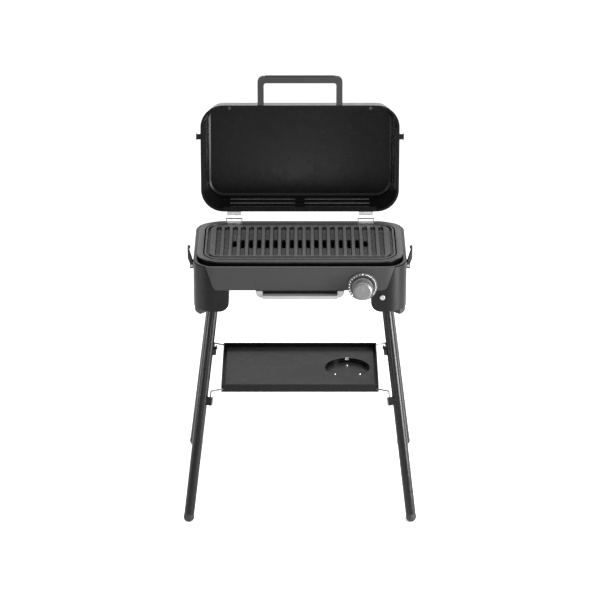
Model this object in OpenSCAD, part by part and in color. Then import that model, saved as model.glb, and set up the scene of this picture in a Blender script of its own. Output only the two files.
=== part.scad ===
// Portable camp grill on four splayed plug-in legs, lid open.
// Gas barbecue with a ribbed cooking plate, pull-out drip tray and a wire-hung shelf
// whose round well holds a gas cartridge. Units are millimetres; X runs left to right,
// Y front to back and Z up from the floor.

/* [Housing] */
// Width of the housing across both side pods
body_w = 524; // [480:2:640]
// Depth of the housing from front face to rear face
body_d = 302; // [280:2:370]
// Height of the firebox rim above the floor
rim_z = 670; // [600:5:780]
// Plan radius of the four housing corners
corner_r = 52; // [44:1:58]
// Width of one side pod seen from the front
pod_w = 88; // [80:1:96]
// Drop of the pods below the deck
pod_h = 118; // [108:1:140]

/* [Legs] */
// Distance between the left and right foot centres on the floor
stance_w = 560; // [520:5:700]
// Distance between the front and rear foot centres on the floor
stance_d = 438; // [400:5:540]
// Outside diameter of the leg tubes
leg_d = 26; // [22:0.5:28]
// Share of the rim height at which the two leg tubes meet
leg_split = 0.43; // [0.38:0.01:0.44]

/* [Lid] */
// Depth of the lid pressing from rim to top panel
lid_h = 105; // [90:1:130]
// How far the lid walls lean in from rim to top
lid_taper = 15; // [8:1:20]
// Opening angle of the lid at its stop
open_deg = 97; // [92:1:104]
// Reach of the lid handle in front of the lid
handle_reach = 72; // [60:1:90]
// Outer width of the lid handle
handle_w = 213; // [180:1:240]

/* [Cooking plate] */
// Spacing of the ribs on the cooking plate
rib_pitch = 20.3; // [19:0.1:26]
// Length of the drain slots in the grooves
slot_len = 56; // [40:1:70]

/* [Shelf] */
// Width of the shelf tray
shelf_w = 393; // [350:1:405]
// Depth of the shelf tray
shelf_d = 253; // [220:1:260]
// Height of the shelf edge above the floor, as a share of the rim height
shelf_share = 0.5015; // [0.47:0.0005:0.52]
// Diameter of the well for the gas cartridge
well_d = 114; // [95:1:120]

/* [Controls] */
// Diameter of the knob's dial plate
dial_d = 72; // [60:1:76]
// Distance of the knob from the middle of the housing
knob_x = 153; // [146:1:158]
// Inward travel of the knob before it turns
knob_push = 2.5; // [1.5:0.1:3]

/* [Drip tray] */
// Outer width of the drip tray handle
tray_handle_w = 217; // [190:1:220]

/* [Hidden] */
$fn = 64;
part_gap = 0.3;      // free gap between pieces that move past each other
fit_gap = 0.05;      // radial gap of turning and sliding fits
seam_gap = 0.8;      // visible seam round the front and rear fascia
sheet = 2;           // wall of the pressed steel pieces
wall = 3;            // wall of the moulded housing

deck_z = rim_z - 8;
pod_z = deck_z - pod_h;
body_cx = body_w / 2 - corner_r;
body_cy = body_d / 2 - corner_r;
face_y = body_d / 2;
side_x = body_w / 2;
pod_x = side_x - pod_w;
pod_r = 25;
deck_bevel = 2.5;
deck_t = 6;
lip_w = 5;
gutter_z = deck_z - 12;
arch_half = body_d / 2 - 100;
arch_r = 20;
apron_z = deck_z - 61;
arch_z = apron_z;
pocket_z = deck_z - 50;

fascia_t = 3;
fascia_top = side_x - 31;
fascia_lean = 0.326;
fascia_r = 15;
fascia_a = atan(fascia_lean);
fascia_cz = apron_z + fascia_r;
fascia_cx = fascia_top - fascia_lean * (deck_z - fascia_cz) - fascia_r / cos(fascia_a);

pan_w = body_w - 17;
pan_d = body_d - 33;
pan_r = corner_r + 7.5;
pan_cx = pan_w / 2 - pan_r;
pan_cy = pan_d / 2 - pan_r;
pan_floor = rim_z - 50;
pan_ledge = rim_z - 16;
drain_r = 85;

plate_cx = pan_cx + 3.5;
plate_cy = pan_cy + 2;
plate_r = pan_r - 22;
plate_top = rim_z + 1;
groove_depth = 9;
groove_half = 0.315 * rib_pitch;
groove_floor = 0.217 * rib_pitch;
groove_end = plate_cy + plate_r - 17;
land_half = plate_cx + plate_r - 12;
slot_cols = 2 * floor((plate_cx - 34) / rib_pitch);
groove_cols = 2 * floor((land_half - groove_half - 7) / rib_pitch);

hinge_y = face_y + 0.3;
hinge_z = rim_z + 3;
hinge_gap = 15;
hinge_x = side_x - 95;
hinge_w = 42;
hinge_pin_r = 2.5;
lid_w = body_w - 23;
lid_d = body_d - 27;
lid_r = corner_r + 5;
lid_cx = lid_w / 2 - lid_r;
lid_cy = lid_d / 2 - lid_r;
lid_y = hinge_y - hinge_gap - lid_d / 2;
lid_lean = lid_taper / lid_h;
lid_front = lid_y - lid_d / 2;
lid_rear = lid_y + lid_d / 2;
rim_band = 6;
vent_rows = [28, 54, 80];
vent_in = 12;
vent_out = lid_cx - 16.5;
screw_h = 8;
screw_r = 2;
handle_z = 10;
arm_x = handle_w / 2 - 7.8;

latch_y = -58;
latch_pin_x = side_x + 5;
latch_pin_z = deck_z - 29;
latch_open = 16;
latch_half = 9;
keeper_x = side_x - 0.6;
keeper_z0 = hinge_z + 0.5;
keeper_z1 = hinge_z + 3;

foot_x = stance_w / 2;
foot_y = stance_d / 2;
leg_r = leg_d / 2;
leg_kx = (foot_x - (side_x - 48.4)) / pod_z;
leg_ky = (foot_y - (face_y - 62.8)) / pod_z;
leg_tilt = atan(norm([leg_kx, leg_ky]));
tube_t = 1.5;
ball_r = leg_r + 0.5;
ball_z = ball_r - 1.2;
ball_s = ball_z / cos(leg_tilt);
foot_top = ball_s + sqrt(pow(ball_r, 2) - pow(leg_r - tube_t, 2)) + 0.1;
seam_s = leg_split * rim_z / cos(leg_tilt);
leg_top = (pod_z + 54) / cos(leg_tilt);
spigot = 45;
corners = [[-1, -1], [1, -1], [-1, 1], [1, 1]];
socket_t = 3;
socket_s = (pod_z + 6) / cos(leg_tilt);
socket_plate_z = pod_z + pod_r + 1;

shelf_z = shelf_share * rim_z;
shelf_floor = shelf_z - 12;
shelf_x = shelf_w / 2;
shelf_y = shelf_d / 2;
shelf_t = 1.5;
shelf_slope = 8;
well_x = 120;
well_r = well_d / 2;
cup_floor = shelf_floor - 11;
wire_r = 2;
wire_z = shelf_z - 10;
flange_out = shelf_x - shelf_slope + 0.5;
flange_k = (shelf_slope - 0.5) / (shelf_z - 0.8 - (shelf_floor - shelf_t));
wire_x = flange_out + (wire_z - shelf_floor + shelf_t) * flange_k
    + wire_r * sqrt(1 + flange_k * flange_k);
clip_z = wire_z - 23.5;
clip_off = leg_r + 6.8;
clip_in = 11.5;
clip_half = 5;
clip_a = -15;

knob_z = deck_z - 50;
dial_r = dial_d / 2;
dial_t = 4;
skirt_r = dial_r - 10.5;
recess_r = dial_r - 7.5;
knob_back = dial_t + 0.5 + knob_push + part_gap;
knob_front = 36;
shaft_r = 4;
shaft_tip = 26;
valve_half = 13;
button_x = body_cx - 8.3;
button_z = deck_z - 79;
button_r = 6.4;

tray_half = 92.5;
tray_flange = 97.5;
tray_z = apron_z - 18;
tray_back = 90;
pipe_r = 4;
pipe_y = face_y - 17;
pipe_x = side_x - 40;
burner_r = 8;
burner_z = pan_floor + 14;
inlet_r = 6.58;

lid_back = hinge_y + (hinge_gap + lid_d - lid_taper) * sin(open_deg - 90)
    + lid_h * cos(open_deg - 90);
foot_front = foot_y - leg_ky * ball_z + ball_r;
origin_y = (foot_front - lid_back) / 2;

// ---- Shared helpers ----

// Sweeps a radial profile round a rectangle with corner centres at cx, cy
module sweep_round(cx, cy) {
    for (a = [0, 180]) rotate([0, 0, a]) {
        translate([cx, cy, 0]) rotate([90, 0, 0]) linear_extrude(2 * cy) children();
        rotate([0, 0, 90]) translate([cy, cx, 0]) rotate([90, 0, 0])
            linear_extrude(2 * cx) children();
        translate([cx, cy, 0]) rotate_extrude(angle = 90) children();
        translate([-cx, cy, 0]) rotate([0, 0, 90]) rotate_extrude(angle = 90) children();
    }
}

// Rounded rectangle with corner centres at cx, cy
module round_plan(cx, cy, r) {
    square([2 * cx, 2 * (cy + r)], center = true);
    square([2 * (cx + r), 2 * cy], center = true);
    for (x = [-cx, cx], y = [-cy, cy]) translate([x, y]) circle(r);
}

// Flat slab of rounded plan between two heights
module round_slab(cx, cy, r, z0, z1) {
    translate([0, 0, z0]) linear_extrude(z1 - z0) round_plan(cx, cy, r);
}

// Box given by its two opposite corners
module box(a, b) {
    translate(a) cube(b - a);
}

// Moves finished pieces so that the origin sits under the middle of the part
module placed() {
    translate([0, origin_y, 0]) children();
}

// Swings lid pieces, drawn closed, to the open stop
module lid_pose() {
    placed() translate([0, hinge_y, hinge_z]) rotate([-open_deg, 0, 0])
        translate([0, -hinge_y, -hinge_z]) children();
}

// Extrudes a profile drawn in Y and Z along X
module along_x(x0, x1) {
    translate([x0, 0, 0]) rotate([90, 0, 90]) linear_extrude(x1 - x0) children();
}

// Extrudes a profile drawn in X and Z along Y
module along_y(y0, y1) {
    translate([0, y1, 0]) rotate([90, 0, 0]) linear_extrude(y1 - y0) children();
}

// Cylinder lying along X
module bar_x(x0, x1, y, z, r) {
    translate([x0, y, z]) rotate([0, 90, 0]) cylinder(h = x1 - x0, r = r);
}

// Cylinder lying along Y
module bar_y(y0, y1, x, z, r) {
    translate([x, y0, z]) rotate([-90, 0, 0]) cylinder(h = y1 - y0, r = r);
}

// Frame whose Z axis runs up one leg from the floor
module on_leg(c) {
    placed() translate([c.x * foot_x, c.y * foot_y, 0])
        rotate([0, leg_tilt, atan2(-c.y * leg_ky, -c.x * leg_kx)]) children();
}

// Frame on the front face with Z pointing out to the front
module on_front(x, z) {
    placed() translate([x, -face_y, z]) rotate([90, 0, 0]) children();
}

// ---- Housing ----

// Outline of one side pod seen from the front
module pod_outline(t, drop) {
    translate([pod_x + pod_r, pod_z - drop]) square([pod_w, pod_h + drop]);
    translate([pod_x + t, pod_z + pod_r]) square([pod_w, pod_h - pod_r]);
    translate([pod_x + pod_r, pod_z + pod_r]) circle(pod_r - t);
}

// Arch between the front and rear pod, grown by t
module arch_outline(t) {
    translate([-arch_half - t, pod_z - 20])
        square([2 * (arch_half + t), arch_z - arch_r - pod_z + 20]);
    translate([arch_r - arch_half, pod_z - 20])
        square([2 * (arch_half - arch_r), arch_z + t - pod_z + 20]);
    for (y = [arch_r - arch_half, arch_half - arch_r])
        translate([y, arch_z - arch_r]) circle(arch_r + t);
}

// Whole housing envelope with its bevelled top edge
module outer_body() {
    sweep_round(body_cx, body_cy) polygon([[0, pod_z], [corner_r, pod_z],
        [corner_r, deck_z - deck_bevel], [corner_r - deck_bevel, deck_z], [0, deck_z]]);
    box([-body_cx, -body_cy, pod_z], [body_cx, body_cy, deck_z]);
}

// Solid body of the right side housing
module pod_body() {
    difference() {
        intersection() {
            outer_body();
            along_y(-body_d, body_d) pod_outline(0, 0);
        }
        along_x(pod_x - 1, side_x + 1) arch_outline(0);
    }
}

// Hollow inside the right side housing, open at the bottom
module pod_cavity() {
    difference() {
        intersection() {
            round_slab(body_cx, body_cy, corner_r - wall, pod_z - 5, gutter_z - deck_t);
            along_y(-body_d, body_d) pod_outline(wall, 5);
        }
        along_x(pod_x - 1, side_x + 1) arch_outline(wall);
        // Thicker walls where the front and rear fascia are let in
        for (m = [0, 1]) mirror([0, m, 0]) skin_zone(4, fascia_t + wall);
    }
}

// Right half of the fascia edge from the deck down round its lower corner
function fascia_edge(g) = concat(
    [for (z = [deck_z + 1, deck_z]) [fascia_top + g / cos(fascia_a), z]],
    [for (i = [0:10]) let (a = -fascia_a - (90 - fascia_a) * i / 10)
        [fascia_cx + (fascia_r + g) * cos(a), fascia_cz + (fascia_r + g) * sin(a)]]);

// Fascia outline grown by g
module fascia_outline(g) {
    edge = fascia_edge(g);
    last = len(edge) - 1;
    polygon(concat(edge, [for (i = [0:last]) [-edge[last - i].x, edge[last - i].y]]));
}

// Front strip of the envelope inside the fascia outline, t deep from the surface
module skin_zone(g, t) {
    difference() {
        along_y(-face_y - 1, -body_cy) fascia_outline(g);
        round_slab(body_cx, body_cy, corner_r - t, pod_z, deck_z + 2);
    }
}

module side_housing() {
    difference() {
        pod_body();
        pod_cavity();
        round_slab(pan_cx, pan_cy, pan_r - 10, pocket_z, deck_z + 1);
        // Open gutter between the firebox pan and the lip of the deck
        round_slab(body_cx - 3, body_cy, corner_r - lip_w, gutter_z, deck_z + 2);
        for (m = [0, 1]) mirror([0, m, 0]) {
            skin_zone(seam_gap, fascia_t);
            box([0, -face_y - 1, deck_z - fascia_t],
                [fascia_top + part_gap, -face_y + lip_w + 0.5, deck_z + 1]);
        }
    }
}

module side_housing_left() {
    color("#3a3b3d") placed() mirror([1, 0, 0]) side_housing();
}

module side_housing_right() {
    color("#3a3b3d") placed() difference() {
        side_housing();
        translate([button_x, 0, button_z]) rotate([90, 0, 0])
            cylinder(h = face_y + 1, r = button_r + part_gap);
        bar_x(pod_x - 1, pod_x + wall + 1, -pipe_y, knob_z, pipe_r + 1);
        translate([pipe_x, 0, arch_z - 1]) cylinder(h = 5, r = inlet_r + 0.4);
    }
}

// Front or rear fascia drawn at the front
module fascia() {
    intersection() {
        outer_body();
        union() {
            skin_zone(0, fascia_t);
            box([-fascia_top, -face_y - 1, deck_z - fascia_t],
                [fascia_top, -face_y + lip_w, deck_z + 1]);
        }
    }
    // Ledge under the edge of the firebox pan
    box([part_gap - pod_x, -face_y + fascia_t - 0.1, gutter_z - fascia_t],
        [pod_x - part_gap, -face_y + 26, gutter_z]);
}

module front_fascia() {
    color("#5b5c5e") placed() difference() {
        fascia();
        bar_y(-face_y - 1, -face_y + fascia_t + 1, knob_x, knob_z, shaft_r + 2);
    }
}

module rear_panel() {
    color("#4a4b4d") placed() mirror([0, 1, 0]) fascia();
}

// ---- Firebox ----

module firebox_pan() {
    r = pan_r;
    color("#4d4f52") placed() {
        difference() {
            union() {
                sweep_round(pan_cx, pan_cy) polygon([[r, rim_z], [r, rim_z - 4],
                    [r - 2, rim_z - 4], [r - 2, gutter_z], [r - 4, gutter_z],
                    [r - 4, rim_z - sheet], [r - 12.8, rim_z - sheet],
                    [r - 14.5, pan_ledge - sheet], [r - 30, pan_ledge - sheet],
                    [r - 36, pan_floor - sheet], [0, pan_floor - sheet], [0, pan_floor],
                    [r - 38, pan_floor], [r - 32, pan_ledge], [r - 16.5, pan_ledge],
                    [r - 15, rim_z]]);
                box([-pan_cx, -pan_cy, pan_floor - sheet], [pan_cx, pan_cy, pan_floor]);
            }
            translate([0, 0, pan_floor - 5]) cylinder(h = 10, r = drain_r);
            bar_y(-face_y, 0, knob_x, burner_z, burner_r + part_gap);
        }
        // Sloping drain in the middle of the floor
        rotate_extrude() polygon([[drain_r + 1, pan_floor], [drain_r + 1, pan_floor - sheet],
            [22, pan_floor - 16], [20, pan_floor - 16], [20, pan_floor - 14],
            [drain_r - 1, pan_floor]]);
    }
}

module burner_tube() {
    port_x = 150;
    color("#8d8f92") placed() difference() {
        union() {
            bar_x(-180, 180, 0, burner_z, burner_r);
            bar_y(-face_y + 33, 0, knob_x, burner_z, burner_r);
            for (x = [-175, 175])
                box([x - 3, -6, pan_floor], [x + 3, 6, burner_z]);
        }
        bar_x(-178, 178, 0, burner_z, burner_r - 1.5);
        bar_y(-face_y + 32, 0, knob_x, burner_z, burner_r - 1.5);
        for (x = [-port_x:25:port_x])
            translate([x, 0, burner_z]) cylinder(h = burner_r + 1, r = 1.5);
    }
}

module gas_valve() {
    color("#b08d4a") placed() difference() {
        box([knob_x - valve_half, -face_y + fascia_t, knob_z - valve_half],
            [knob_x + valve_half, -face_y + 31, knob_z + valve_half]);
        bar_y(-face_y + fascia_t - 1, -face_y + 21, knob_x, knob_z, shaft_r + fit_gap);
    }
}

module gas_pipe() {
    color("#b5794b") placed() {
        translate([knob_x, -pipe_y, knob_z + valve_half])
            cylinder(h = burner_z - knob_z - valve_half, r = pipe_r);
        translate([knob_x, -pipe_y, burner_z]) sphere(pipe_r);
        bar_y(-pipe_y, -face_y + 33, knob_x, burner_z, pipe_r);
        bar_x(knob_x + valve_half, pipe_x, -pipe_y, knob_z, pipe_r);
        translate([pipe_x, -pipe_y, knob_z]) sphere(pipe_r);
        bar_y(-pipe_y, 0, pipe_x, knob_z, pipe_r);
        translate([pipe_x, 0, knob_z]) sphere(pipe_r);
    }
}

module gas_inlet_nipple() {
    nut_z = arch_z - 5;
    color("#c9a24f") placed() translate([pipe_x, 0, 0]) difference() {
        union() {
            translate([0, 0, arch_z + wall])
                cylinder(h = knob_z - pipe_r - arch_z - wall, r = 10);
            translate([0, 0, nut_z - 14]) cylinder(h = arch_z + wall + 14 - nut_z, r = inlet_r);
            translate([0, 0, nut_z]) cylinder(h = 5, r = 10, $fn = 6);
        }
        translate([0, 0, nut_z - 15]) cylinder(h = 20, r = 3);
    }
}

module igniter_electrode() {
    color("#e8e4da") placed() translate([110, -20, pan_floor]) {
        cylinder(h = 16, r = 3);
        cylinder(h = 24, r = 1);
    }
}

// ---- Controls ----

module valve_spindle() {
    color("#9a9ca0") on_front(knob_x, knob_z)
        translate([0, 0, -20]) cylinder(h = shaft_tip + 20, r = shaft_r);
}

module knob_bezel() {
    color("#4c4d50") on_front(knob_x, knob_z) rotate_extrude()
        polygon([[7, 0], [dial_r, 0], [dial_r, dial_t - 1], [dial_r - 1, dial_t],
            [recess_r, dial_t], [recess_r, 1.5], [7, 1.5]]);
}

module dial_marks() {
    color("#f2f2f0") on_front(knob_x, knob_z) translate([0, 0, dial_t]) {
        translate([0, dial_r - 3.4, 0]) cylinder(h = 0.4, r = 1.5);
        for (i = [0:9]) rotate([0, 0, 104 + 13 * i])
            translate([dial_r - 3.4 - 0.6 - 0.1 * i, -0.4 - 0.13 * i, 0])
                cube([1.2 + 0.2 * i, 0.8 + 0.26 * i, 0.4]);
        rotate([0, 0, -40]) rotate_extrude(angle = 118)
            translate([dial_r - 3.7, 0]) square([0.6, 0.4]);
    }
}

module control_knob() {
    flutes = 28;
    grip_r = skirt_r - 2;
    color("#a6a7a9") on_front(knob_x, knob_z) difference() {
        rotate_extrude() polygon([[0, knob_back], [skirt_r, knob_back],
            [skirt_r, knob_back + 5], [skirt_r - 0.8, knob_back + 6],
            [grip_r, knob_back + 6], [grip_r - 0.4, knob_front - 4],
            [grip_r - 1.2, knob_front - 2.4], [grip_r - 5, knob_front],
            [0, knob_front]]);
        translate([0, 0, knob_back - 1])
            cylinder(h = shaft_tip + knob_push + 1.5 - knob_back, r = shaft_r + fit_gap);
        for (i = [0:flutes - 1]) rotate([0, 0, 360 / flutes * (i + 0.5)])
            translate([grip_r + 0.7, 0, knob_back + 8])
                cylinder(h = knob_front - knob_back - 13, r = 1.4);
    }
}

module knob_pointer() {
    bar_l = 15;
    color("#d9dadb") on_front(knob_x, knob_z) {
        for (x = [-2, 2]) translate([x - 0.45, 1.5, knob_front]) cube([0.9, bar_l, 0.8]);
        translate([0, skirt_r - 1.4, knob_back + 6]) cylinder(h = 0.5, r = 0.6);
    }
}

module igniter_button() {
    color("#d7d8da") on_front(button_x, button_z) translate([0, 0, -9])
        rotate_extrude() polygon([[0, 0], [button_r, 0], [button_r, 13],
            [button_r - 1, 14], [0, 14]]);
}

module piezo_unit() {
    color("#222326") on_front(button_x, button_z) rotate_extrude()
        polygon([[button_r + part_gap, -wall], [button_r + 2.1, -wall],
            [button_r + 2.1, -22], [0, -22], [0, -20], [button_r + part_gap, -20]]);
}

// ---- Drip tray ----

module drip_tray() {
    color("#2b2c2e") placed() difference() {
        union() {
            box([-tray_half, -face_y + 5, tray_z], [tray_half, tray_back, tray_z + 16]);
            box([-tray_flange, -face_y + 5, tray_z + 14],
                [tray_flange, tray_back, tray_z + 16]);
        }
        box([sheet - tray_half, -face_y + 5 + sheet, tray_z + sheet],
            [tray_half - sheet, tray_back - sheet, tray_z + 17]);
    }
}

module drip_tray_handle() {
    half = tray_handle_w / 2;
    r = 16;
    color("#c9cacc") placed() {
        along_y(-face_y - 3, -face_y + 5) difference() {
            union() {
                translate([-half, tray_z + r - 1]) square([2 * half, 18 - r]);
                translate([r - half, tray_z - 1]) square([2 * (half - r), 18]);
                for (x = [r - half, half - r]) translate([x, tray_z + r - 1]) circle(r);
            }
            translate([17 - half, tray_z + 8]) square([2 * (half - 17), 20]);
            translate([-half - 1, tray_z + 17]) square([2 * half + 2, 20]);
        }
        box([17 - half, -face_y - 12, tray_z - 1], [half - 17, -face_y - 3, tray_z + 8]);
    }
}

module drip_tray_rails() {
    lip_z = tray_z + 14 - part_gap;
    color("#77797c") placed() for (m = [0, 1]) mirror([m, 0, 0]) {
        box([tray_flange + 1, -100, lip_z - 2], [tray_flange + 3, 85, pan_floor - sheet]);
        box([tray_half + 1.5, -100, lip_z - 2], [tray_flange + 3, 85, lip_z]);
    }
}

// ---- Cooking plate ----

// One groove with sloping walls and round ends
module groove(x) {
    z = plate_top - groove_depth;
    y = groove_end - groove_half;
    translate([x, 0, 0]) along_y(-y, y) polygon([[-groove_floor, z], [groove_floor, z],
        [groove_half, plate_top], [groove_half, plate_top + 1],
        [-groove_half, plate_top + 1], [-groove_half, plate_top]]);
    for (e = [-y, y]) translate([x, e, z]) {
        cylinder(h = groove_depth, r1 = groove_floor, r2 = groove_half);
        translate([0, 0, groove_depth]) cylinder(h = 1, r = groove_half);
    }
}

// One drain slot through the floor of a groove
module slot(x, len) {
    r = groove_floor - 0.2;
    translate([x, 0, plate_top - 20]) linear_extrude(20) {
        square([2 * r, len - 2 * r], center = true);
        for (y = [r - len / 2, len / 2 - r]) translate([0, y]) circle(r);
    }
}

module cooking_plate() {
    base = rim_z - 12;
    r = plate_r;
    color("#55585b") placed() difference() {
        union() {
            sweep_round(plate_cx, plate_cy) polygon([[0, base], [r - 2.5, base],
                [r - 2.5, pan_ledge + part_gap], [r, pan_ledge + part_gap],
                [r, plate_top - 1], [r - 1, plate_top], [r - 4.5, plate_top],
                [r - 6, plate_top - 7], [r - 10.5, plate_top - 7],
                [r - 12, plate_top], [0, plate_top]]);
            box([-plate_cx, -plate_cy, base], [plate_cx, plate_cy, plate_top]);
        }
        for (i = [-groove_cols / 2:groove_cols / 2]) groove(i * rib_pitch);
        for (i = [-slot_cols / 2:slot_cols / 2])
            slot(i * rib_pitch, abs(i) == slot_cols / 2 ? 0.7 * slot_len : slot_len);
    }
}

// ---- Lid, drawn closed ----

// Lid envelope between its leaning front and rear walls
module lid_depth_block(x0, x1) {
    z1 = hinge_z + lid_h;
    along_x(x0, x1) polygon([[lid_front, hinge_z], [lid_rear, hinge_z],
        [lid_rear - lid_taper, z1], [lid_front + lid_taper, z1]]);
}

// Lid envelope between its leaning side walls
module lid_width_block(y0, y1) {
    z1 = hinge_z + lid_h;
    along_y(y0, y1) polygon([[-lid_w / 2, hinge_z], [lid_w / 2, hinge_z],
        [lid_w / 2 - lid_taper, z1], [lid_taper - lid_w / 2, z1]]);
}

// Frame on the outer face of the rear lid wall, h above the rim, Z pointing out
module on_lid_rear(x, h) {
    translate([x, lid_rear - lid_lean * h, hinge_z + h])
        rotate([-90 + atan(lid_lean), 0, 0]) children();
}

// Frame on the outer face of the front lid wall, h above the rim, Z pointing out
module on_lid_front(x, h) {
    translate([x, lid_front + lid_lean * h, hinge_z + h])
        rotate([90 - atan(lid_lean), 0, 0]) children();
}

module lid_shell() {
    h = lid_h;
    w = lid_taper;
    z = hinge_z;
    vent_len = vent_out - vent_in;
    color("#37383a") lid_pose() difference() {
        translate([0, lid_y, 0]) {
            sweep_round(lid_cx, lid_cy) polygon([[lid_r, z],
                [lid_r - lid_lean * (h - 10), z + h - 10], [lid_r - w - 1, z + h - 3],
                [lid_r - w - 7, z + h], [0, z + h], [0, z + h - sheet],
                [lid_r - w - 7.6, z + h - sheet], [lid_r - w - 2.8, z + h - 4.4],
                [lid_r - lid_lean * (h - 10) - sheet, z + h - 10.5],
                [lid_r - lid_lean * sheet - sheet, z + sheet], [lid_r - rim_band, z + sheet],
                [lid_r - rim_band, z]]);
            box([-lid_cx, -lid_cy, z + h - sheet], [lid_cx, lid_cy, z + h]);
        }
        for (s = [-1, 1], v = vent_rows)
            translate([s * (vent_in + vent_len / 2), lid_rear - lid_lean * v, z + v])
                cube([vent_len, 10, 9], center = true);
        for (s = [-1, 1]) {
            on_lid_rear(s * hinge_x, screw_h) translate([0, 0, -5])
                cylinder(h = 10, r = screw_r + 0.1);
            on_lid_front(s * arm_x, handle_z) translate([0, 0, -5])
                cylinder(h = 10, r = screw_r + 0.1);
        }
    }
}

module lid_flanges() {
    z = hinge_z + sheet;
    out = sheet + 1;
    wide = 12;
    color("#434446") lid_pose() translate([0, lid_y, z]) {
        for (m = [0, 1]) mirror([m, 0, 0])
            box([lid_w / 2 - wide, -lid_cy, 0], [lid_w / 2 - out, lid_cy, 1.2]);
        for (m = [0, 1]) mirror([0, m, 0])
            box([-lid_cx, lid_d / 2 - wide, 0], [lid_cx, lid_d / 2 - out, 1.2]);
    }
}

// Hoods over the vents
module lid_louvers() {
    color("#4b4c4e") lid_pose() for (s = [0, 1], v = vent_rows)
        mirror([s, 0, 0]) along_x(vent_in, vent_out)
            translate([lid_rear - lid_lean * v, hinge_z + v])
                polygon([[-4.5 * lid_lean, 4.5], [-8 * lid_lean, 8], [1.5, 6.6],
                    [6, -4.2], [4.8, -4.6], [0.4, 5.3]]);
}

module lid_bumpers() {
    color("#1b1b1c") lid_pose() for (x = [-hinge_x - 10, hinge_x + 10])
        translate([x, lid_front + 6.5, rim_z + 0.5]) cylinder(h = hinge_z - rim_z - 0.5, r = 4);
}

module lid_handle() {
    half = handle_w / 2;
    arm = 2 * (half - arm_x);
    bar = 16;
    r = 14;
    y0 = lid_front - handle_reach;
    color("#414244") lid_pose() difference() {
        translate([0, 0, hinge_z + 1]) linear_extrude(18) difference() {
            union() {
                translate([-half, y0 + r]) square([2 * half, handle_reach]);
                translate([r - half, y0]) square([2 * (half - r), r + 1]);
                for (x = [r - half, half - r]) translate([x, y0 + r]) circle(r);
            }
            translate([arm - half, y0 + bar + 6]) square([2 * (half - arm), 2 * handle_reach]);
            translate([arm + 6 - half, y0 + bar]) square([2 * (half - arm - 6), 10]);
            for (x = [arm + 6 - half, half - arm - 6])
                translate([x, y0 + bar + 6]) circle(6);
        }
        lid_depth_block(-half - 1, half + 1);
        for (x = [-arm_x, arm_x])
            on_lid_front(x, handle_z) translate([0, 0, -5])
                cylinder(h = 17.5, r = screw_r + 0.1);
    }
}

module handle_grip() {
    half = handle_w / 2 - 19.5;
    ribs = 33;
    step = 2 * half / ribs;
    y0 = lid_front - handle_reach;
    color("#1d1e1f") lid_pose() translate([0, 0, hinge_z + 3]) linear_extrude(14)
        polygon(concat([[-half, y0], [-half, y0 - 1]],
            [for (i = [0:ribs - 1], p = [[0.15, 1], [0.3, 2.2], [0.7, 2.2], [0.85, 1]])
                [-half + step * (i + p[0]), y0 - p[1]]],
            [[half, y0 - 1], [half, y0]]));
}

// Button head screws through the hinge leaves and handle arms
module lid_screws() {
    color("#d5d6d8") lid_pose() for (s = [-1, 1]) {
        on_lid_rear(s * hinge_x, screw_h) screw(2);
        on_lid_front(s * arm_x, handle_z) screw(10);
    }
}

// Screw with its head a hair inside the inner face of the lid wall
module screw(reach) {
    t = sheet * cos(atan(lid_lean)) + 0.02;
    translate([0, 0, -t - 1]) cylinder(h = reach + t + 1, r = screw_r);
    translate([0, 0, -t - 2]) cylinder(h = 2, r1 = 2.6, r2 = 3.6);
}

module hinge_leaves() {
    half = hinge_w / 2 - 2.8;
    t = 2.2;
    h = 20;
    color("#c4c6c8") lid_pose() for (m = [0, 1]) mirror([m, 0, 0]) difference() {
        union() {
            bar_x(hinge_x - half, hinge_x + half, hinge_y, hinge_z, 5);
            along_x(hinge_x - half, hinge_x + half) polygon([[lid_rear, hinge_z],
                [lid_rear - lid_lean * h, hinge_z + h],
                [lid_rear - lid_lean * h + t, hinge_z + h], [lid_rear + t, hinge_z + 2],
                [hinge_y, hinge_z + 2], [hinge_y, hinge_z - 1.2],
                [lid_rear, hinge_z - 1.2]]);
        }
        bar_x(hinge_x - half - 1, hinge_x + half + 1, hinge_y, hinge_z,
            hinge_pin_r + fit_gap);
        on_lid_rear(hinge_x, screw_h) translate([0, 0, -1])
            cylinder(h = 10, r = screw_r + 0.1);
    }
}

module latch_keepers() {
    wall_x = lid_w / 2 - 2;
    color("#55575a") lid_pose() difference() {
        for (m = [0, 1]) mirror([m, 0, 0]) translate([0, latch_y, keeper_z0])
            linear_extrude(keeper_z1 - keeper_z0)
                polygon([[wall_x, -7.6], [wall_x + 7, -6.8], [keeper_x - 3, -7.3],
                    [keeper_x, -8.7], [keeper_x, 8.7], [keeper_x - 3, 7.3],
                    [wall_x + 7, 6.8], [wall_x, 7.6]]);
        lid_width_block(latch_y - 20, latch_y + 20);
    }
}

// ---- Hinge and latch pieces on the housing ----

module hinge_brackets() {
    ear = 2.5;
    color("#c4c6c8") placed() for (m = [0, 1]) mirror([m, 0, 0]) difference() {
        union() {
            box([hinge_x - hinge_w / 2, face_y, deck_z - 22],
                [hinge_x + hinge_w / 2, face_y + 1.5, deck_z - 2]);
            for (x = [hinge_x - hinge_w / 2, hinge_x + hinge_w / 2 - ear]) {
                bar_x(x, x + ear, hinge_y, hinge_z, 6);
                box([x, face_y, deck_z - 22], [x + ear, hinge_y + 6, hinge_z]);
            }
        }
        bar_x(hinge_x - hinge_w, hinge_x + hinge_w, hinge_y, hinge_z, hinge_pin_r);
    }
}

module hinge_pins() {
    half = hinge_w / 2 + 0.8;
    color("#9b9da0") placed() for (x = [-hinge_x, hinge_x])
        bar_x(x - half, x + half, hinge_y, hinge_z, hinge_pin_r);
}

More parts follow.
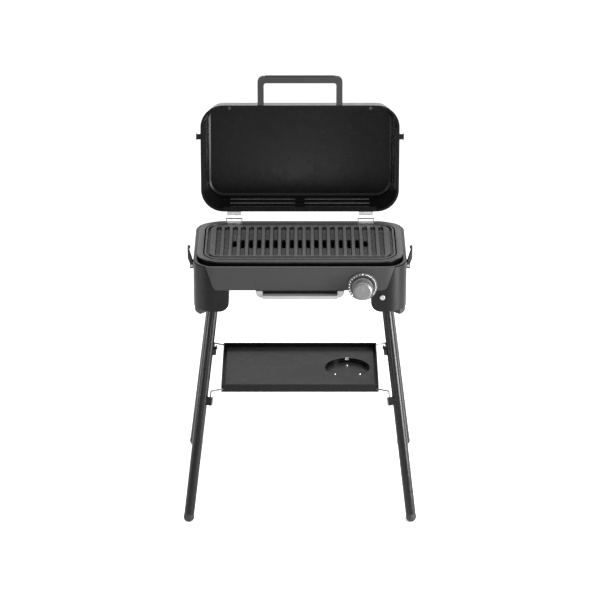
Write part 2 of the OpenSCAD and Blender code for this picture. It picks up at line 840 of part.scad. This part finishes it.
module latch_brackets() {
    ear = 2.5;
    in = latch_half + 0.4;
    color("#3a3b3d") placed() for (m = [0, 1]) mirror([m, 0, 0]) difference() {
        for (y = [latch_y - in - ear, latch_y + in])
            box([side_x, y, latch_pin_z - 7], [latch_pin_x + 4.5, y + ear, latch_pin_z + 7]);
        bar_y(latch_y - 30, latch_y + 30, latch_pin_x, latch_pin_z, 2.5);
    }
}

module latch_pins() {
    half = latch_half + 3.4;
    color("#9b9da0") placed() for (x = [-latch_pin_x, latch_pin_x])
        bar_y(latch_y - half, latch_y + half, x, latch_pin_z, 2.5);
}

// Right latch drawn closed, then swung out to its rest position
module latch() {
    x = side_x;
    z = latch_pin_z;
    translate([latch_pin_x, 0, latch_pin_z]) rotate([0, latch_open, 0])
        translate([-latch_pin_x, 0, -latch_pin_z]) difference() {
            union() {
                bar_y(latch_y - latch_half, latch_y + latch_half, latch_pin_x,
                    latch_pin_z, 4.4);
                along_y(latch_y - latch_half, latch_y + latch_half) polygon([
                    [x + 1, z + 1], [x + 1, keeper_z1 + 0.4], [x - 4.2, keeper_z1 + 0.4],
                    [x - 4.2, keeper_z1 + 1.4], [x - 1, keeper_z1 + 3.6],
                    [x + 2, keeper_z1 + 4.8], [x + 9.6, z + 20], [x + 8, z + 1]]);
            }
            bar_y(latch_y - 30, latch_y + 30, latch_pin_x, latch_pin_z, 2.5 + fit_gap);
        }
}

module latch_left() {
    color("#303133") placed() mirror([1, 0, 0]) latch();
}

module latch_right() {
    color("#303133") placed() latch();
}

// ---- Legs ----

module leg_sockets() {
    out_r = leg_r + part_gap + socket_t;
    end_s = leg_top + part_gap;
    color("#4a4b4d") for (c = corners) difference() {
        union() {
            on_leg(c) rotate([0, 0, 90]) translate([0, 0, socket_s])
                cylinder(h = end_s + socket_t - socket_s, r = out_r);
            placed() mirror([c.x < 0 ? 1 : 0, 0, 0]) mirror([0, c.y < 0 ? 1 : 0, 0])
                box([pod_x + wall, arch_half + wall, socket_plate_z],
                    [side_x - wall, body_cy - 6, socket_plate_z + 4]);
        }
        on_leg(c) rotate([0, 0, 90]) translate([0, 0, socket_s - 20])
            cylinder(h = end_s - socket_s + 20, r = leg_r + part_gap);
    }
}

// Short feet under the pods for use on a table
module tabletop_feet() {
    color("#2a2b2c") placed() for (mx = [0, 1], my = [0, 1])
        mirror([mx, 0, 0]) mirror([0, my, 0]) {
            translate([body_cx, body_cy, 0]) rotate_extrude(angle = 45)
                foot_pad_profile();
            along_y_pad();
        }
}

// Section of a table foot, measured from the corner centre
module foot_pad_profile() {
    r = corner_r - wall;
    polygon([[r - 20, pod_z - 14], [r + 1, pod_z - 14], [r + 1, pod_z], [r, pod_z],
        [r, pod_z + 5], [r - 20, pod_z + 5]]);
}

// Straight run of a table foot along the side of the pod
module along_y_pad() {
    translate([body_cx, 0, 0]) along_y(arch_half + 12, body_cy) foot_pad_profile();
}

module leg_upper(c) {
    color("#454648") on_leg(c) rotate_extrude() polygon([
        [leg_r - tube_t, seam_s + part_gap], [leg_r, seam_s + part_gap],
        [leg_r, leg_top], [0, leg_top], [0, leg_top - 2], [leg_r - tube_t, leg_top - 2]]);
}

module leg_lower(c) {
    in_r = leg_r - tube_t;
    fit_r = in_r - fit_gap;
    color("#454648") on_leg(c) rotate_extrude() polygon([[in_r, foot_top],
        [leg_r, foot_top], [leg_r, seam_s], [fit_r, seam_s], [fit_r, seam_s + spigot],
        [fit_r - 1.5, seam_s + spigot], [fit_r - 1.5, seam_s - 20], [in_r, seam_s - 20]]);
}

// Loop on a leg that takes the end of the shelf wire
module leg_clip(c) {
    h = 19;
    s = (clip_z - h / 2) / cos(leg_tilt);
    turn = atan2(-c.y * sin(clip_a), -c.x * cos(clip_a)) - atan2(-c.y * leg_ky, -c.x * leg_kx);
    out = leg_r + clip_in;
    color("#6a6c6f") on_leg(c) rotate([0, 0, turn]) translate([0, 0, s]) {
        linear_extrude(h) difference() {
            translate([0, -clip_half - 1.4]) square([out + 1.4, 2 * clip_half + 2.8]);
            translate([0, -clip_half]) square([out, 2 * clip_half]);
            circle(leg_r);
        }
        // Flared lip that guides the wire in
        translate([0, clip_half + 1.4, h]) rotate([90, 0, 0])
            linear_extrude(2 * clip_half + 2.8)
                polygon([[out, 0], [out + 1.4, 0], [out + 4.2, 4], [out + 3, 4.4]]);
    }
}

module foot(c) {
    color("#151516") difference() {
        on_leg(c) {
            translate([0, 0, ball_s]) sphere(ball_r);
            translate([0, 0, ball_s]) cylinder(h = foot_top - ball_s, r = leg_r);
        }
        placed() box([-foot_x - 50, -foot_y - 50, -20], [foot_x + 50, foot_y + 50, 0]);
    }
}

module leg_upper_fl() { leg_upper(corners[0]); }
module leg_upper_fr() { leg_upper(corners[1]); }
module leg_upper_rl() { leg_upper(corners[2]); }
module leg_upper_rr() { leg_upper(corners[3]); }
module leg_clip_fl() { leg_clip(corners[0]); }
module leg_clip_fr() { leg_clip(corners[1]); }
module leg_clip_rl() { leg_clip(corners[2]); }
module leg_clip_rr() { leg_clip(corners[3]); }
module leg_lower_fl() { leg_lower(corners[0]); }
module leg_lower_fr() { leg_lower(corners[1]); }
module leg_lower_rl() { leg_lower(corners[2]); }
module leg_lower_rr() { leg_lower(corners[3]); }
module foot_fl() { foot(corners[0]); }
module foot_fr() { foot(corners[1]); }
module foot_rl() { foot(corners[2]); }
module foot_rr() { foot(corners[3]); }

// ---- Shelf ----

module shelf_tray() {
    z0 = shelf_floor - shelf_t;
    low = shelf_z - 21;
    color("#57595b") placed() difference() {
        union() {
            box([-flange_out, -shelf_y + 1, z0], [flange_out, shelf_y - 1, shelf_floor]);
            for (m = [0, 1]) mirror([0, m, 0]) along_x(-shelf_x, shelf_x)
                polygon([[shelf_y, low], [shelf_y, shelf_z], [shelf_y - 3, shelf_z],
                    [shelf_y - 3, shelf_z - 6], [shelf_y - 1.2, shelf_z - 6],
                    [shelf_y - 1.2, low]]);
            for (m = [0, 1]) mirror([m, 0, 0]) along_y(-shelf_y + 1, shelf_y - 1)
                polygon([[flange_out - 2, z0], [flange_out, z0], [shelf_x, shelf_z - 0.8],
                    [shelf_x, shelf_z], [shelf_x - 2, shelf_z],
                    [flange_out - 2, shelf_floor]]);
        }
        translate([well_x, 0, z0 - 1]) cylinder(h = 5, r = well_r);
        for (x = [-wire_x, wire_x])
            bar_y(-shelf_y - 1, shelf_y + 1, x, wire_z, wire_r + 0.001);
    }
}

module cartridge_cup() {
    z0 = shelf_floor - shelf_t;
    color("#4b4d4f") placed() translate([well_x, 0, 0]) rotate_extrude()
        polygon([[0, cup_floor - sheet], [well_r + 0.5, cup_floor - sheet],
            [well_r + 0.5, cup_floor + 4], [well_r + 2, cup_floor + 4],
            [well_r + 2, z0 - 1.5], [well_r + 8, z0 - 1.5], [well_r + 8, z0], [well_r, z0],
            [well_r, cup_floor + 5.5], [well_r - 1.5, cup_floor + 5.5],
            [well_r - 1.5, cup_floor], [0, cup_floor]]);
}

module cartridge_clip() {
    color("#e4e5e6") placed() translate([well_x - 4.4, well_r - 1.4, cup_floor + 5.5])
        cube([8.8, 1.2, 7]);
}

module cup_rivets() {
    color("#c9cacc") placed() translate([well_x, 0, cup_floor])
        for (a = [90, 210, 330]) rotate([0, 0, a]) translate([well_r - 21, 0, 0])
            cylinder(h = 1.2, r1 = 2.6, r2 = 1.8);
}

// Rod between two points
module rod(a, b, r) {
    d = b - a;
    translate(a) rotate([0, acos(d.z / norm(d)), atan2(d.y, d.x)])
        cylinder(h = norm(d), r = r);
}

// Axis of the wire hook beside the right rear leg at height z
function hook_point(z) = [foot_x - leg_kx * z - clip_off * cos(clip_a),
    foot_y - leg_ky * z - clip_off * sin(clip_a), z];

module shelf_wires() {
    bend = [wire_x, shelf_y + 6, wire_z];
    top = hook_point(wire_z);
    $fn = 24;
    color("#8e9092") placed() for (mx = [0, 1]) mirror([mx, 0, 0]) {
        bar_y(-bend.y, bend.y, wire_x, wire_z, wire_r);
        for (my = [0, 1]) mirror([0, my, 0]) {
            rod(bend, top, wire_r);
            rod(top, hook_point(clip_z + 1), wire_r);
            for (p = [bend, top]) translate(p) sphere(wire_r + 0.1);
        }
    }
}

side_housing_left();
side_housing_right();
front_fascia();
rear_panel();
firebox_pan();
burner_tube();
gas_pipe();
gas_valve();
gas_inlet_nipple();
valve_spindle();
control_knob();
knob_pointer();
knob_bezel();
dial_marks();
igniter_button();
piezo_unit();
igniter_electrode();
drip_tray();
drip_tray_handle();
drip_tray_rails();
cooking_plate();
lid_shell();
lid_flanges();
lid_louvers();
lid_bumpers();
lid_handle();
handle_grip();
lid_screws();
hinge_leaves();
latch_keepers();
hinge_brackets();
hinge_pins();
latch_brackets();
latch_pins();
latch_left();
latch_right();
leg_sockets();
tabletop_feet();
shelf_tray();
cartridge_cup();
cartridge_clip();
cup_rivets();
shelf_wires();
leg_upper_fl();
leg_upper_fr();
leg_upper_rl();
leg_upper_rr();
leg_clip_fl();
leg_clip_fr();
leg_clip_rl();
leg_clip_rr();
leg_lower_fl();
leg_lower_fr();
leg_lower_rl();
leg_lower_rr();
foot_fl();
foot_fr();
foot_rl();
foot_rr();
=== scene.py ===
"""Portable camp grill: materials, small softened edges, studio and camera.

Lengths are in metres, light power in watts, and colours are linear."""
import math

import bpy
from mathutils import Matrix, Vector

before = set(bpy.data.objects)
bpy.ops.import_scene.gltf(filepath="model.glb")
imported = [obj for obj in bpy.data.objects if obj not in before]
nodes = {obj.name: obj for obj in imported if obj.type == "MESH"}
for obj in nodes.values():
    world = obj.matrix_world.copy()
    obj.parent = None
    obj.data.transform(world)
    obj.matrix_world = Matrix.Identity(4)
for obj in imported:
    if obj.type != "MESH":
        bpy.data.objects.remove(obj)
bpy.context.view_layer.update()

# ---- Numbers shared by all finishes ----

# Noise scales, per metre of a piece's own coordinates
DRIFT_SCALE = 14.0          # slow change of tone over a panel
WEAR_SCALE = 70.0           # patches rubbed paler
SMEAR_SCALE = 45.0          # patches of lower and higher gloss
PEEL_RATIO = 7              # orange peel is this many times coarser than the grain

NOISE_CORE = (0.3, 0.7)     # part of the noise range that is stretched to 0 to 1
WEAR_CORE = (0.62, 0.78)    # only the highest patches wear
PAINTED_TOP_LIGHT_CORE = (0.80, 0.99)     # upright part of the normal where the painted top highlight sets in

GRAIN_STRENGTH = 0.6
PEEL_STRENGTH = 0.4

# ---- Numbers of the edges ----

WELD_DISTANCE = 1e-6
BEVEL_SEGMENTS = 3
SHARP_ANGLE = math.radians(32)
NORMAL_WEIGHT = 60

# ---- Numbers of the studio ----

FLOOR_SIZE = 60
FLOOR_CUTS = 8
FLOOR_DROP = 0.0002         # keeps the feet from sharing a plane with the floor
FLOOR_TONES = (0.95, 0.97)

# Name, place, point it is aimed at, width and height, power
SOFTBOXES = (
    # Even light from above
    ("top_box", (0.0, -0.3, 3.6), (0, 0, 0.6), (2.6, 2.2), 45),
    # Broad sheen on the right pod and the right side of the legs
    ("right_box", (1.6, -0.85, 0.80), (0.25, -0.1, 0.55), (0.6, 1.3), 105),
    # Thin highlight down the left side
    ("left_box", (-1.8, -0.7, 0.9), (-0.2, 0, 0.55), (0.3, 1.2), 30),
    # Gloss on the ribs of the cooking plate
    ("plate_box", (0.0, -0.17, 0.92), (0, -0.165, 0.67), (0.75, 0.06), 0.9),
    # Soft light inside the open lid
    ("lid_box", (0.0, -1.15, 0.46), (0, 0.14, 0.75), (0.25, 0.2), 1.4),
)

CAMERA_PLACE = (0.0, -6.3077, 3.227)
CAMERA_DOWN = 23.4          # degrees below level
CAMERA_LENS = 163.6         # millimetres
CAMERA_SENSOR = 36          # millimetres
CAMERA_FAR = 100


# ---- Node helpers ----

class Tree:
    """Builds one material's nodes and wires them up."""

    def __init__(self, name):
        self.mat = bpy.data.materials.new(name)
        self.mat.use_nodes = True
        self.nt = self.mat.node_tree
        self.shader = self.nt.nodes["Principled BSDF"]
        texco = self.nt.nodes.new("ShaderNodeTexCoord")
        self.coord = texco.outputs["Object"]
        self.facing = texco.outputs["Normal"]

    def set(self, **values):
        """Sets shader inputs by name, with an underscore for each space."""
        for key, value in values.items():
            self.shader.inputs[key.replace("_", " ")].default_value = value

    def wire(self, a, b):
        self.nt.links.new(a, b)

    def drive(self, value, name):
        """Wires a socket to the shader input of that name."""
        self.wire(value, self.shader.inputs[name])

    def noise(self, scale, detail=3.0, rough=0.5, stretch=None):
        n = self.nt.nodes.new("ShaderNodeTexNoise")
        n.inputs["Scale"].default_value = scale
        n.inputs["Detail"].default_value = detail
        n.inputs["Roughness"].default_value = rough
        src = self.coord
        if stretch:
            m = self.nt.nodes.new("ShaderNodeMapping")
            m.inputs["Scale"].default_value = stretch
            self.wire(src, m.inputs["Vector"])
            src = m.outputs["Vector"]
        self.wire(src, n.inputs["Vector"])
        return n.outputs["Fac"]

    def painted_top_light_mask(self, core):
        """Mask of the painted top highlight: 1 on faces that look up, 0 on steep walls.
        """
        n = self.nt.nodes.new("ShaderNodeSeparateXYZ")
        self.wire(self.facing, n.inputs["Vector"])
        return self.span(n.outputs["Z"], 0.0, 1.0, core)

    def span(self, value, lo, hi, core=NOISE_CORE):
        """Maps the core of a value's range onto lo to hi."""
        n = self.nt.nodes.new("ShaderNodeMapRange")
        n.inputs["From Min"].default_value, n.inputs["From Max"].default_value = core
        n.inputs["To Min"].default_value = lo
        n.inputs["To Max"].default_value = hi
        self.wire(value, n.inputs["Value"])
        return n.outputs["Result"]

    def mix(self, fac, a, b):
        """Mixes two colours, each given as a tuple or as a socket."""
        n = self.nt.nodes.new("ShaderNodeMix")
        n.data_type = "RGBA"
        for slot, value in (("A", a), ("B", b)):
            sock = [s for s in n.inputs if s.name == slot and s.type == "RGBA"][0]
            if isinstance(value, (tuple, list)):
                sock.default_value = (*value, 1.0)
            else:
                self.wire(value, sock)
        self.wire(fac, n.inputs["Factor"])
        return [s for s in n.outputs if s.type == "RGBA"][0]

    def bump(self, height, strength, distance, below=None):
        n = self.nt.nodes.new("ShaderNodeBump")
        n.inputs["Strength"].default_value = strength
        n.inputs["Distance"].default_value = distance
        self.wire(height, n.inputs["Height"])
        if below:
            self.wire(below, n.inputs["Normal"])
        return n.outputs["Normal"]


def finish_of(name, base, rough, spec=0.5, metal=0.0, grain=900.0, depth=0.00002,
              vary=0.10, rough_vary=0.06, brushed=None, wear=None, peel=0.0, painted_top_light=None):
    """Painted, moulded or metal surface with grain, patchy gloss and colour drift.

    grain is the noise scale of the fine texture and depth its height. peel is the
    height of the coarser orange peel. vary is the share by which the tone drifts.
    brushed stretches the noise along the brushing. wear is the tone of rubbed patches.
    The last argument is the paler tone painted on faces that look up: a painted
    highlight standing in for the light from above."""
    t = Tree(name)
    t.set(Metallic=metal, Specular_IOR_Level=spec)
    drift = t.noise(DRIFT_SCALE, 4.0, 0.6)
    dark = tuple(c * (1 - vary) for c in base)
    light = tuple(min(1.0, c * (1 + vary)) for c in base)
    colour = t.mix(t.span(drift, 0.0, 1.0), dark, light)
    if wear:
        patch = t.noise(WEAR_SCALE, 6.0, 0.7)
        colour = t.mix(t.span(patch, 0.0, 1.0, WEAR_CORE), colour, wear)
    # Painted highlight: faces that look up get a paler tone, standing in for the light
    # from above.
    if painted_top_light:
        colour = t.mix(t.painted_top_light_mask(PAINTED_TOP_LIGHT_CORE), colour, painted_top_light)
    t.drive(colour, "Base Color")
    smear = t.noise(SMEAR_SCALE, 5.0, 0.65, brushed)
    t.drive(t.span(smear, rough - rough_vary, rough + rough_vary), "Roughness")
    fine = t.noise(grain, 2.0, 0.5, brushed)
    normal = t.bump(fine, GRAIN_STRENGTH, depth)
    if peel:
        coarse = t.noise(grain / PEEL_RATIO, 2.0, 0.4)
        normal = t.bump(coarse, PEEL_STRENGTH, peel, normal)
    t.drive(normal, "Normal")
    return t.mat


# ---- Materials ----

def grey(v):
    return (v, v, v)


# The paler tone given to faces that look up on the housing, fascia, pan, plate and
# shelf is a painted highlight standing in for the light from above; on the shelf it
# paints the lit floor against the shaded front lip.
FINISHES = {
    "housing": finish_of("housing_moulding", grey(0.0020), 0.34, 0.14, grain=1500,
                         depth=3e-5, peel=4e-5, painted_top_light=grey(0.05)),
    "fascia": finish_of("fascia_paint", grey(0.0175), 0.55, 0.18, grain=1800,
                        depth=1.5e-5, vary=0.04, painted_top_light=grey(0.10)),
    "pan": finish_of("pan_enamel", grey(0.0015), 0.22, 0.30, grain=700, depth=8e-6,
                     peel=3e-5, painted_top_light=grey(0.050)),
    "plate": finish_of("plate_coating", grey(0.012), 0.26, 0.55, grain=2200, depth=1e-5,
                       vary=0.14, wear=grey(0.018), painted_top_light=grey(0.060)),
    "lid": finish_of("lid_paint", grey(0.0020), 0.25, 0.15, grain=1600, depth=1.5e-5,
                     peel=2e-5),
    "louver": finish_of("louver_paint", grey(0.080), 0.42, 0.30, grain=1600, depth=1e-5,
                        vary=0.06),
    "stainless": finish_of("stainless", grey(0.86), 0.24, metal=0.9, grain=1400,
                           depth=6e-6, brushed=(0.06, 1, 1), vary=0.04),
    "zinc": finish_of("zinc_steel", grey(0.45), 0.36, metal=1.0, depth=1e-5),
    "wire": finish_of("dark_wire", grey(0.10), 0.34, metal=1.0, grain=1100, depth=1e-5,
                      vary=0.08),
    "brass": finish_of("brass", (0.62, 0.44, 0.19), 0.28, metal=1.0, depth=8e-6),
    "copper": finish_of("copper_pipe", (0.52, 0.27, 0.16), 0.38, metal=1.0, grain=500,
                        depth=1e-5, vary=0.16),
    "silver": finish_of("silver_lacquer", grey(0.21), 0.34, metal=0.55, grain=2600,
                        depth=6e-6, vary=0.04),
    "knob": finish_of("knob_lacquer", grey(0.09), 0.34, metal=0.45, grain=2600,
                      depth=6e-6, vary=0.04),
    "bezel": finish_of("bezel_paint", grey(0.030), 0.40, 0.40, grain=1700, depth=1e-5),
    "print": finish_of("printed_ink", grey(0.80), 0.55, 0.3, grain=1500, depth=4e-6,
                       vary=0.03),
    "moulded": finish_of("black_moulding", grey(0.014), 0.46, 0.28, grain=1300,
                         depth=3e-5),
    "rubber": finish_of("rubber", grey(0.010), 0.66, 0.30, grain=1000, depth=4e-5,
                        vary=0.12),
    "ceramic": finish_of("ceramic", (0.76, 0.74, 0.69), 0.22, grain=600, depth=6e-6,
                         vary=0.03),
    "leg": finish_of("leg_paint", grey(0.0020), 0.27, 0.22, grain=1500, depth=8e-6,
                     peel=1e-5),
    "shelf": finish_of("shelf_paint", grey(0.0010), 0.30, 0.14, grain=1500,
                       depth=1.2e-5, peel=2e-5, painted_top_light=grey(0.017)),
    "tray": finish_of("tray_enamel", grey(0.003), 0.30, 0.12, depth=1e-5),
}
LEGS = ("fl", "fr", "rl", "rr")
# Finish, and the pieces that have it
WEARS = {
    "housing": ["side_housing_left", "side_housing_right"],
    "fascia": ["front_fascia", "rear_panel"],
    "pan": ["firebox_pan"],
    "plate": ["cooking_plate"],
    "lid": ["lid_shell", "lid_flanges", "latch_keepers"],
    "louver": ["lid_louvers"],
    "stainless": ["hinge_leaves", "hinge_brackets", "lid_screws", "cup_rivets",
                  "cartridge_clip"],
    "zinc": ["burner_tube", "drip_tray_rails", "valve_spindle", "hinge_pins",
             "latch_pins"],
    "wire": ["shelf_wires"],
    "brass": ["gas_valve", "gas_inlet_nipple"],
    "copper": ["gas_pipe"],
    "silver": ["drip_tray_handle", "igniter_button", "knob_pointer"],
    "knob": ["control_knob"],
    "bezel": ["knob_bezel"],
    "print": ["dial_marks"],
    "moulded": ["piezo_unit", "lid_handle", "latch_brackets", "latch_left",
                "latch_right", "leg_sockets"],
    "rubber": ["lid_bumpers", "handle_grip", "tabletop_feet"]
              + ["foot_" + k for k in LEGS],
    "ceramic": ["igniter_electrode"],
    "leg": [p + k for p in ("leg_upper_", "leg_lower_", "leg_clip_") for k in LEGS],
    "shelf": ["shelf_tray", "cartridge_cup"],
    "tray": ["drip_tray"],
}
# Edge radius of the pieces whose rims catch the light
SOFT = {
    "side_housing_left": 0.0010, "side_housing_right": 0.0010,
    "front_fascia": 0.0006, "rear_panel": 0.0006,
    "lid_shell": 0.0005, "lid_handle": 0.0022, "handle_grip": 0.0004,
    "latch_left": 0.0006, "latch_right": 0.0006,
    "latch_brackets": 0.0006, "latch_keepers": 0.0004,
    "hinge_brackets": 0.0004, "tabletop_feet": 0.0010,
    "drip_tray": 0.0006, "drip_tray_handle": 0.0012, "shelf_tray": 0.0004,
}


def soften(obj, radius):
    """Welds a CAD node's split vertices, rounds its sharp edges, evens its shading."""
    weld = obj.modifiers.new("weld", "WELD")
    weld.merge_threshold = WELD_DISTANCE
    bevel = obj.modifiers.new("edge", "BEVEL")
    bevel.width = radius
    bevel.segments = BEVEL_SEGMENTS
    bevel.limit_method = "ANGLE"
    bevel.angle_limit = SHARP_ANGLE
    bevel.use_clamp_overlap = True
    even = obj.modifiers.new("normals", "WEIGHTED_NORMAL")
    even.keep_sharp = True
    even.weight = NORMAL_WEIGHT


for key, names in WEARS.items():
    for name in names:
        obj = nodes[name]
        obj.data.materials.clear()
        obj.data.materials.append(FINISHES[key])
        if name in SOFT:
            soften(obj, SOFT[name])

# ---- Studio ----

scene = bpy.context.scene
scene.view_settings.view_transform = "Standard"
scene.view_settings.look = "None"
scene.view_settings.exposure = 0.0
world = bpy.data.worlds.new("studio")
scene.world = world
world.use_nodes = True
background = world.node_tree.nodes["Background"]
background.inputs["Color"].default_value = (1.0, 1.0, 1.0, 1.0)
background.inputs["Strength"].default_value = 1.0


def floor():
    """Plain pale floor with a hint of unevenness."""
    bpy.ops.mesh.primitive_grid_add(x_subdivisions=FLOOR_CUTS,
                                    y_subdivisions=FLOOR_CUTS,
                                    size=FLOOR_SIZE, location=(0, 0, -FLOOR_DROP))
    obj = bpy.context.object
    obj.name = "floor"
    t = Tree("pale_floor")
    t.set(Specular_IOR_Level=0.1)
    low, high = (grey(v) for v in FLOOR_TONES)
    t.drive(t.mix(t.span(t.noise(0.8), 0, 1), low, high), "Base Color")
    t.drive(t.span(t.noise(3.0), 0.75, 0.9), "Roughness")
    obj.data.materials.append(t.mat)


def softbox(name, place, aim, size, watts):
    """Rectangular soft light aimed at a point, not seen itself."""
    light = bpy.data.lights.new(name, "AREA")
    light.shape = "RECTANGLE"
    light.size, light.size_y = size
    light.energy = watts
    obj = bpy.data.objects.new(name, light)
    scene.collection.objects.link(obj)
    obj.location = place
    obj.visible_camera = False
    toward = Vector(aim) - Vector(place)
    obj.rotation_euler = toward.to_track_quat("-Z", "Y").to_euler()


floor()
for box in SOFTBOXES:
    softbox(*box)

camera = bpy.data.cameras.new("camera")
camera.lens = CAMERA_LENS
camera.sensor_width = CAMERA_SENSOR
camera.clip_end = CAMERA_FAR
view = bpy.data.objects.new("camera", camera)
scene.collection.objects.link(view)
view.location = CAMERA_PLACE
view.rotation_euler = (math.radians(90 - CAMERA_DOWN), 0, 0)
scene.camera = view
